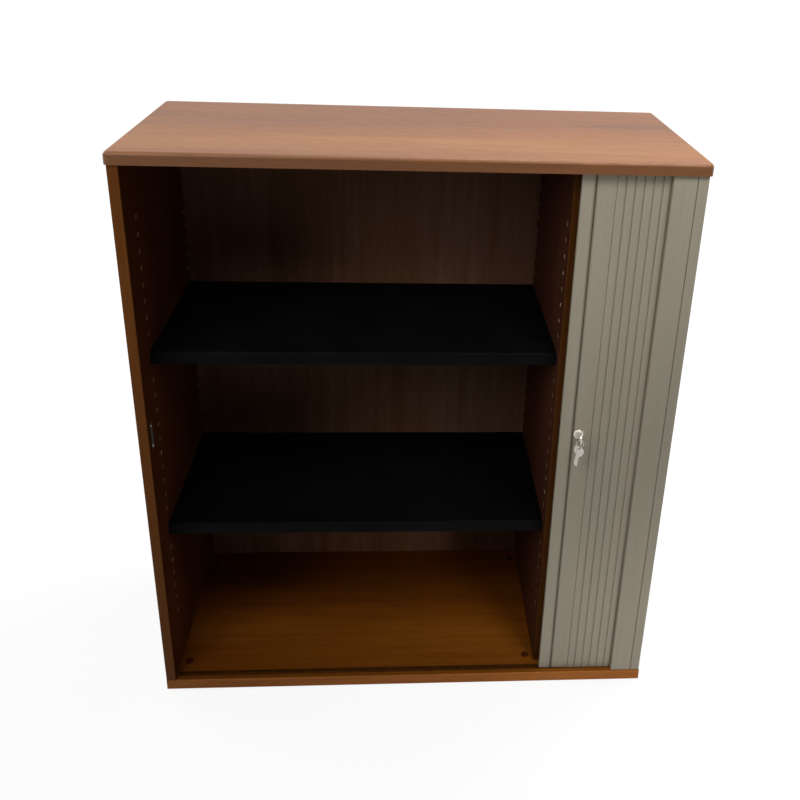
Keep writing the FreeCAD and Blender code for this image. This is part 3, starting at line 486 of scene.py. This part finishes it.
class CABINET_OT_boards(bpy.types.Operator):
    """Gives the boards their cherry laminate, with the grain the way each board was cut"""
    bl_idname = "cabinet.boards"
    bl_label = "Boards"

    def execute(self, context):
        sizes = context.scene.cabinet_sizes
        # Depth to which the painted shade on the faces inside reaches
        skin = sizes.shade_skin
        top_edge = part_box("top_panel")[1].z - sizes.top_edge
        bottom_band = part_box("bottom_panel")[0].y + sizes.edge_band
        side_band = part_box("left_side_panel")[0].y + sizes.edge_band
        liner_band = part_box("inner_liner")[0].y + sizes.edge_band
        paint_nodes(laminate("top_laminate", "X", gloss=0.5,
                             edge_test=lambda x, y, z: z < top_edge), "top_panel")
        # The bottom's front edge band is 2.7 times lighter as painted light from the floor's
        # bounce, and its top face gets painted shade
        paint_nodes(laminate("bottom_laminate", "X", gloss=0.15,
                             edge_test=lambda x, y, z: y < bottom_band, edging=2.7,
                             inside_shade_test=lambda x, y, z: z > FLOOR - skin, inside=FLOOR_SHADE),
                    "bottom_panel")
        # The left panel's inside face gets painted shade
        paint_nodes(laminate("side_laminate", "Z", gloss=0.08,
                             edge_test=lambda x, y, z: y < side_band,
                             inside_shade_test=lambda x, y, z: x > LEFT_WALL - skin, inside=LEFT_SHADE),
                    "left_side_panel")
        paint_nodes(laminate("store_laminate", "Z", gloss=0.4), "right_side_panel")
        # The back's front face gets painted shade and a greyer painted sheen
        paint_nodes(laminate("back_laminate", "Z", gloss=0.03,
                             inside_shade_test=lambda x, y, z: y < BACK_WALL + skin, inside=BACK_SHADE_AND_SHEEN),
                    "back_panel")
        # The liner's front edge band is darker as painted shade cast by the leading profile, and
        # its inside face gets painted shade
        paint_nodes(laminate("liner_laminate", "Z", gloss=0.03,
                             edge_test=lambda x, y, z: y < liner_band, edging=0.6,
                             inside_shade_test=lambda x, y, z: x < LINER_WALL + skin, inside=LINER_SHADE),
                    "inner_liner")
        return {"FINISHED"}


class CABINET_OT_shutter(bpy.types.Operator):
    """Gives the slats, the leading profile and the post their silver, and the track its plastic"""
    bl_idname = "cabinet.shutter"
    bl_label = "Shutter"

    def execute(self, context):
        sizes = context.scene.cabinet_sizes
        colours = context.scene.cabinet_colours
        slats = [name for name in frame["nodes"] if name.startswith("slat_")]
        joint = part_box("slat_1")[0].x
        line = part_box("lead_profile")[0].x + sizes.profile_line
        # The slats get painted shade beside their joints, and the profile beside its line
        paint_nodes(silver("slat_silver", shine=0.3, seam=joint, reach=sizes.slat_shade,
                           depth=0.25, pitch=sizes.slat_pitch), *slats)
        paint_nodes(silver("stored_silver", shine=0.3),
                    "stored_slats_side", "stored_slats_back", "stored_slats_liner")
        paint_nodes(silver("profile_silver", shine=0.36, seam=line, reach=sizes.profile_shade,
                           depth=0.65), "lead_profile")
        paint_nodes(silver("post_silver", shine=0.3), "front_post")
        paint_nodes(moulded("track_plastic", colours.track, gloss=0.05),
                    "upper_guide_rail", "lower_guide_rail")
        paint_nodes(moulded("glide_plastic", colours.plastic),
                    "track_end_stops", "lead_glide_lower", "lead_glide_upper")
        return {"FINISHED"}


class CABINET_OT_drawn_curtain(bpy.types.Operator):
    """Makes the slats that the shutter draws out, gathered behind the post while it is open"""
    bl_idname = "cabinet.drawn_curtain"
    bl_label = "Drawn curtain"

    def execute(self, context):
        sizes = context.scene.cabinet_sizes
        pitch, groove_half, chamfer = sizes.slat_pitch, sizes.slat_groove, sizes.slat_chamfer
        slide = next(joint for joint in frame["joints"] if joint["name"] == "shutter_slide")
        travel = slide["range_m"][1]
        post_low, post_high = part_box("front_post")
        end = post_low.x + 2 * MM
        start = end + 15 * MM
        face = post_high.y + 0.15 * MM
        groove = face + chamfer
        back = groove + 0.1 * MM
        clearance = 0.4 * MM
        slack = 0.03 * MM

        def gathered(drawn):
            """The x that a smooth step over the travel would take to drawn, found by halving."""
            low, high = end, start
            for _ in range(50):
                middle = (low + high) / 2
                share = (start - middle) / (start - end)
                if middle - travel * share * share * (3 - 2 * share) < drawn:
                    low = middle
                else:
                    high = middle
            return low

        outline = []
        for i in range(int((start - end + travel) / pitch)):
            left = end - travel + i * pitch
            right = left + pitch
            outline += [(left, groove), (left + groove_half, groove),
                        (left + groove_half + chamfer, face),
                        (right - groove_half - chamfer, face), (right - groove_half, groove)]
        outline += [(start, groove), (start, back), (end - travel, back)]
        shape = bmesh.new()
        corners = [shape.verts.new((gathered(x), y, FLOOR + clearance)) for x, y in outline]
        sheet = shape.faces.new(corners)
        raised = bmesh.ops.extrude_face_region(shape, geom=[sheet])
        upper = [item for item in raised["geom"] if isinstance(item, bmesh.types.BMVert)]
        bmesh.ops.translate(shape, verts=upper, vec=(0, 0, CEILING - FLOOR - 2 * clearance))
        bmesh.ops.recalc_face_normals(shape, faces=shape.faces)
        # Faces in the grooves get painted shade in the colour of the shaded joints
        for side in shape.faces:
            depth = side.calc_center_median().y
            in_groove = face + slack < depth < back - slack
            side.material_index = int(in_groove and len(side.verts) == 4)
        paint = silver("curtain_silver", shine=0.3)
        seam = moulded("curtain_seam_shade", context.scene.cabinet_colours.seam, gloss=0.1)
        piece = new_piece("drawn_curtain", shape, [paint, seam], None)
        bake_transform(piece)
        return {"FINISHED"}


class CABINET_OT_shelves(bpy.types.Operator):
    """Gives the folded steel shelves their black powder coat and the pins their zinc"""
    bl_idname = "cabinet.shelves"
    bl_label = "Shelves"

    def execute(self, context):
        colours = context.scene.cabinet_colours
        paint_nodes(powder_coat("shelf_powder_coat", colours.shelf), "shelf_upper", "shelf_lower")
        paint_nodes(plated("pin_zinc", colours.zinc, roughness=0.3), "shelf_pins")
        return {"FINISHED"}


class CABINET_OT_pin_holes(bpy.types.Operator):
    """Makes the sleeved columns of shelf pin holes in the left side panel and the liner"""
    bl_idname = "cabinet.pin_holes"
    bl_label = "Pin holes"

    def execute(self, context):
        sizes = context.scene.cabinet_sizes
        colours = context.scene.cabinet_colours
        radius, pitch = sizes.hole_radius, sizes.hole_pitch
        lip_radius = radius + sizes.hole_rim
        lip_flat = radius + 0.7 * sizes.hole_rim
        lip_rise, rim_rise, middle_rise = 0.12 * MM, 0.03 * MM, 0.02 * MM
        lip = [(0, 0), (lip_radius, 0), (lip_flat, lip_rise), (radius, lip_rise),
               (radius, rim_rise)]
        # The hole is a flat disc that carries painted shade for the dark depth of the hole
        hole = [(radius, rim_rise), (0, middle_rise)]
        sides = 16
        sleeve = moulded("hole_sleeve", colours.sleeve, gloss=0.2)
        dark = painted_hole_shade("hole_painted_shade", colours.laminate_dark)
        shelves = [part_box(name) for name in ("shelf_upper", "shelf_lower")]
        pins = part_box("shelf_pins")
        columns = (pins[0].y + radius, pins[1].y - radius)
        lowest, highest = FLOOR + 4 * pitch, CEILING - 3 * pitch
        for name, wall, direction in (("pin_holes_left", LEFT_WALL, 1),
                                      ("pin_holes_liner", LINER_WALL, -1)):
            shape = bmesh.new()
            height = lowest
            while height < highest:
                clear = all(height > high.z + lip_radius or height < low.z - lip_radius
                            for low, high in shelves)
                for y in columns if clear else ():
                    place = facing((wall, y, height), (direction, 0, 0))
                    turn(shape, lip, place, sides)
                    turn(shape, hole, place, sides, material=1)
                height += pitch
            bmesh.ops.remove_doubles(shape, verts=shape.verts, dist=WELD)
            bmesh.ops.recalc_face_normals(shape, faces=shape.faces)
            new_piece(name, shape, [sleeve, dark], "carcass")
        return {"FINISHED"}


class CABINET_OT_floor_caps(bpy.types.Operator):
    """Makes the round caps over the feet's adjusting holes in the cabinet's floor"""
    bl_idname = "cabinet.floor_caps"
    bl_label = "Floor caps"

    def execute(self, context):
        low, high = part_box("floor_caps")
        radius = 8 * MM
        rise = high.z - FLOOR
        sides = 24
        profile = [(0, 0), (radius, 0), (radius, 0.45 * rise), (0.93 * radius, 0.85 * rise),
                   (0.8 * radius, rise), (0.55 * radius, rise), (0.5 * radius, 0.75 * rise),
                   (0, 0.7 * rise)]
        shape = bmesh.new()
        for x in (low.x + radius, high.x - radius):
            for y in (low.y + radius, high.y - radius):
                turn(shape, profile, Matrix.Translation((x, y, FLOOR)), sides)
        plastic = moulded("cap_plastic", context.scene.cabinet_colours.cap, gloss=0.05)
        caps = new_piece("adjusting_caps", shape, [plastic], "carcass")
        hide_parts("floor_caps")
        return {"FINISHED"}


class CABINET_OT_feet(bpy.types.Operator):
    """Makes the turned levelling feet with their ribbed rims, and finishes their inserts"""
    bl_idname = "cabinet.feet"
    bl_label = "Feet"

    def execute(self, context):
        colours = context.scene.cabinet_colours
        plastic = moulded("foot_plastic", colours.plastic)
        paint_nodes(plated("insert_zinc", colours.zinc, roughness=0.35), "foot_inserts")
        feet = [name for name in frame["nodes"] if name.startswith("foot_")]
        feet.remove("foot_inserts")
        for name in feet:
            shape = self.turn_foot(*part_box(name))
            foot = new_piece(f"turned_{name}", shape, [plastic], name)
            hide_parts(name)
        return {"FINISHED"}

    def turn_foot(self, low, high):
        """A foot between two corners: a disc with a ribbed rim, and a stem for its insert."""
        middle = (low + high) / 2
        radius = (high.x - low.x) / 2
        toe, rim_low, rim_high, disc_top = 0.6 * MM, 1.4 * MM, 3 * MM, 3.7 * MM
        stem, tip = 4 * MM, 1 * MM
        rib_gap, rib_depth = 0.25 * MM, 0.5 * MM
        sides = 48
        profile = [(0, 0), (0.8 * radius, 0), (0.96 * radius, toe), (radius, rim_low),
                   (radius, rim_high), (0.94 * radius, disc_top), (stem, disc_top),
                   (stem, high.z - tip), (stem - tip, high.z), (0, high.z)]
        shape = bmesh.new()
        rim = []
        for face in turn(shape, profile, Matrix.Translation((middle.x, middle.y, 0)), sides):
            centre = face.calc_center_median()
            outer = (centre.xy - middle.xy).length > 0.9 * radius
            if outer and rim_low < centre.z < rim_high:
                rim.append(face)
        grooves = rim[1::2]
        ring = bmesh.ops.inset_individual(shape, faces=grooves, thickness=rib_gap,
                                          depth=-rib_depth)
        bmesh.ops.recalc_face_normals(shape, faces=ring["faces"] + grooves)
        return shape


class CABINET_OT_lock(bpy.types.Operator):
    """Finishes the lock, its works and its keys, and makes the turned barrel and the key ring"""
    bl_idname = "cabinet.lock"
    bl_label = "Lock"

    def execute(self, context):
        colours = context.scene.cabinet_colours
        nickel = plated("lock_nickel", colours.nickel, roughness=0.16)
        paint_nodes(nickel, "lock_plug", "key", "spare_key")
        paint_nodes(plated("works_zinc", colours.zinc, roughness=0.3),
                    "hook_bolt", "lock_link", "strike_plate")
        paint_nodes(powder_coat("case_powder_coat", colours.shelf), "lock_case")
        barrel = new_piece("turned_lock_barrel", self.turn_barrel(), [nickel], "shutter")
        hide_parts("lock_barrel")
        ring = new_piece("wound_key_ring", self.wind_ring(), [nickel], "key_ring")
        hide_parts("key_ring")
        return {"FINISHED"}

    def turn_barrel(self):
        """The barrel with a domed rosette, a bead round its rim and a plain bore."""
        low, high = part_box("lock_barrel")
        middle = (low + high) / 2
        radius = (high.x - low.x) / 2
        tall = 3 * MM
        deep = high.y - low.y - tall
        bore, barrel = 6 * MM, 8 * MM
        sides = 64
        profile = [(bore, -deep), (barrel, -deep), (barrel, 0), (radius, 0), (radius, 0.3 * tall),
                   (0.97 * radius, 0.62 * tall), (0.9 * radius, 0.86 * tall),
                   (0.82 * radius, 0.96 * tall), (0.75 * radius, 0.92 * tall),
                   (0.72 * radius, 0.98 * tall), (0.63 * radius, tall),
                   (bore, 0.96 * tall), (bore, -deep)]
        shape = bmesh.new()
        turn(shape, profile, facing((middle.x, low.y + tall, middle.z), (0, -1, 0)), sides)
        return shape

    def wind_ring(self):
        """The two turns of the ring's round wire, side by side."""
        low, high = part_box("key_ring")
        middle = (low + high) / 2
        wire = 0.42 * MM
        spacing = 0.92 * MM
        centre = (high.x - low.x) / 2 - wire
        wire_sides, sides = 8, 48
        angles = [step * 2 * math.pi / wire_sides for step in range(wire_sides + 1)]
        shape = bmesh.new()
        for level in (-spacing / 2, spacing / 2):
            section = [(centre + wire * math.cos(angle), level + wire * math.sin(angle))
                       for angle in angles]
            turn(shape, section, facing(middle, (0, -1, 0)), sides)
        return shape


class CABINET_OT_screws(bpy.types.Operator):
    """Makes the screws of the strike plate, the lock case and the back panel"""
    bl_idname = "cabinet.screws"
    bl_label = "Screws"

    def execute(self, context):
        radius = context.scene.cabinet_sizes.screw_radius
        zinc = plated("screw_zinc", context.scene.cabinet_colours.zinc, roughness=0.25)
        low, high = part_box("strike_plate")
        inset = 5 * MM
        shape = bmesh.new()
        for z in (low.z + inset, high.z - inset):
            screw_head(shape, (high.x, (low.y + high.y) / 2, z), (1, 0, 0), 0.7 * radius)
        new_piece("strike_screws", shape, [zinc], "carcass")
        low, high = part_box("lock_case")
        inset = 6 * MM
        shape = bmesh.new()
        for x in (low.x + inset, high.x - inset):
            for z in (low.z + inset, high.z - inset):
                screw_head(shape, (x, high.y, z), (0, 1, 0), 0.8 * radius)
        new_piece("case_screws", shape, [zinc], "shutter")
        low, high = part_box("back_panel")
        inset = 16 * MM
        shape = bmesh.new()
        for x in (low.x + inset, (low.x + high.x) / 2, high.x - inset):
            for z in (low.z + inset, (low.z + high.z) / 2, high.z - inset):
                screw_head(shape, (x, high.y, z), (0, 1, 0), radius)
        new_piece("back_screws", shape, [zinc], "carcass")
        return {"FINISHED"}


# Studio

def area_lamp(name, power, size, place, aim, spread=180):
    """A rectangular lamp at a place, turned to its aim, that lights within a spread in degrees."""
    lamp = bpy.data.lights.new(name, "AREA")
    lamp.spread = math.radians(spread)
    lamp.energy = power
    lamp.shape = "RECTANGLE"
    lamp.size, lamp.size_y = size
    holder = bpy.data.objects.new(name, lamp)
    bpy.context.scene.collection.objects.link(holder)
    holder.location = place
    holder.rotation_euler = (Vector(aim) - Vector(place)).to_track_quat("-Z", "Y").to_euler()


class CABINET_OT_stage(bpy.types.Operator):
    """Makes the pale floor, the lamps, the white surroundings and the camera"""
    bl_idname = "cabinet.stage"
    bl_label = "Stage"

    def execute(self, context):
        scene = context.scene
        stage = scene.cabinet_stage
        self.lay_floor(scene.cabinet_colours.ground)
        area_lamp("overhead_lamp", stage.key_power, size=(2.0, 1.2),
                  place=(0.7, 0.35, 3.2), aim=(0.7, 0.35, 0.0))
        area_lamp("front_lamp", stage.front_power, size=(0.9, 0.7),
                  place=(-0.8, -1.2, 2.3), aim=(-0.1, -0.2, 0.7))
        area_lamp("side_lamp", stage.side_power, size=(0.5, 0.5),
                  place=(0.7, -0.9, 1.9), aim=(0.45, -0.19, 0.95), spread=60)
        area_lamp("inside_lamp", stage.inside_power, size=(0.5, 0.5),
                  place=(-1.3, -1.3, 1.6), aim=(0.2, 0.0, 0.6), spread=60)
        area_lamp("low_lamp", stage.low_power, size=(0.5, 0.3),
                  place=(1.1, -1.6, 0.5), aim=(0.45, -0.19, 0.1), spread=30)
        for name, x in (("left_lamp", -3.0), ("right_lamp", 3.0)):
            area_lamp(name, stage.rear_power, size=(1.8, 1.8),
                      place=(x, 1.6, 1.8), aim=(0.0, 0.1, 0.6))
        self.light_world(stage.ambient)
        self.place_camera(stage.focal)
        scene.view_settings.view_transform = "Standard"
        return {"FINISHED"}

    def seen_white(self, signal):
        """1 for rays that show the surroundings: from the camera, in gloss or through glass."""
        path = signal.node("ShaderNodeLightPath").socket.node
        camera, glossy, through = (Signal(signal.tree, path.outputs[f"Is {kind} Ray"])
                                   for kind in ("Camera", "Glossy", "Transmission"))
        return signal.sum("MINIMUM", camera + glossy + through, 1.0)

    def lay_floor(self, colour):
        """A wide matt floor that glows white to the camera, a little less near the cabinet."""
        half_width = 30
        near, far = 1.0, 3.0
        near_share, far_share = 0.66, 0.76
        brightness = 1.36
        shape = bmesh.new()
        bmesh.ops.create_grid(shape, x_segments=1, y_segments=1, size=half_width)
        mesh = bpy.data.meshes.new("studio_floor")
        shape.to_mesh(mesh)
        shape.free()
        floor = bpy.data.objects.new("studio_floor", mesh)
        bpy.context.scene.collection.objects.link(floor)
        material, signal = new_material("floor_white")
        away = signal.node("ShaderNodeVectorMath", {"operation": "LENGTH"}, {0: signal}, "Value")
        share = self.seen_white(signal) * away.spread(near, far, near_share, far_share)
        matt = signal.node("ShaderNodeBsdfDiffuse", None, {"Color": tuple(colour)})
        glow = signal.node("ShaderNodeEmission", None, {"Color": (1, 1, 1), "Strength": brightness})
        surface = signal.node("ShaderNodeMixShader", None, {0: share, 1: matt, 2: glow})
        signal.node("ShaderNodeOutputMaterial", None, {"Surface": surface})
        mesh.materials.append(material)

    def light_world(self, ambient):
        """White surroundings where they are seen, and a weak even light on the object."""
        world = bpy.data.worlds.new("studio")
        bpy.context.scene.world = world
        world.use_nodes = True
        world.node_tree.nodes.clear()
        signal = Signal(world.node_tree)
        strength = self.seen_white(signal) * (1 - ambient) + ambient
        sky = signal.node("ShaderNodeBackground", None, {"Color": (1, 1, 1), "Strength": strength})
        signal.node("ShaderNodeOutputWorld", None, {"Surface": sky})

    def place_camera(self, focal):
        camera = bpy.data.cameras.new("camera")
        camera.sensor_width = 36
        camera.lens = focal
        camera.shift_x, camera.shift_y = CAMERA_SHIFT
        holder = bpy.data.objects.new("camera", camera)
        bpy.context.scene.collection.objects.link(holder)
        holder.matrix_world = (Matrix.Translation(CAMERA_PLACE)
                               @ Matrix.Rotation(math.radians(CAMERA_YAW), 4, "Z")
                               @ Matrix.Rotation(math.radians(CAMERA_PITCH), 4, "X")
                               @ Matrix.Rotation(math.radians(CAMERA_ROLL), 4, "Y")
                               @ Matrix.Rotation(math.pi / 2, 4, "X"))
        bpy.context.scene.camera = holder


# Add-on

OPERATORS = (
    CABINET_OT_stage,
    CABINET_OT_boards,
    CABINET_OT_shutter,
    CABINET_OT_drawn_curtain,
    CABINET_OT_shelves,
    CABINET_OT_pin_holes,
    CABINET_OT_floor_caps,
    CABINET_OT_feet,
    CABINET_OT_lock,
    CABINET_OT_screws,
)
GROUPS = {
    "cabinet_colours": CabinetColours,
    "cabinet_sizes": CabinetSizes,
    "cabinet_stage": CabinetStage,
}


class CABINET_PT_pieces(bpy.types.Panel):
    """Lists the cabinet's colours, sizes, stage and pieces"""
    bl_idname = "CABINET_PT_pieces"
    bl_label = "Cabinet"
    bl_space_type = "VIEW_3D"
    bl_region_type = "UI"
    bl_category = "Cabinet"

    def draw(self, context):
        for group_name, group in GROUPS.items():
            column = self.layout.column()
            for name in group.__annotations__:
                column.prop(getattr(context.scene, group_name), name)
        for operator in OPERATORS:
            self.layout.operator(operator.bl_idname)


def register():
    for name, group in GROUPS.items():
        bpy.utils.register_class(group)
        setattr(bpy.types.Scene, name, PointerProperty(type=group))
    for operator in OPERATORS:
        bpy.utils.register_class(operator)
    bpy.utils.register_class(CABINET_PT_pieces)


def unregister():
    bpy.utils.unregister_class(CABINET_PT_pieces)
    for operator in reversed(OPERATORS):
        bpy.utils.unregister_class(operator)
    for name, group in GROUPS.items():
        delattr(bpy.types.Scene, name)
        bpy.utils.unregister_class(group)


def main():
    register()
    bpy.ops.cabinet.stage()
    bpy.ops.cabinet.boards()
    bpy.ops.cabinet.shutter()
    bpy.ops.cabinet.drawn_curtain()
    bpy.ops.cabinet.shelves()
    bpy.ops.cabinet.pin_holes()
    bpy.ops.cabinet.floor_caps()
    bpy.ops.cabinet.feet()
    bpy.ops.cabinet.lock()
    bpy.ops.cabinet.screws()


if __name__ == "__main__":
    main()
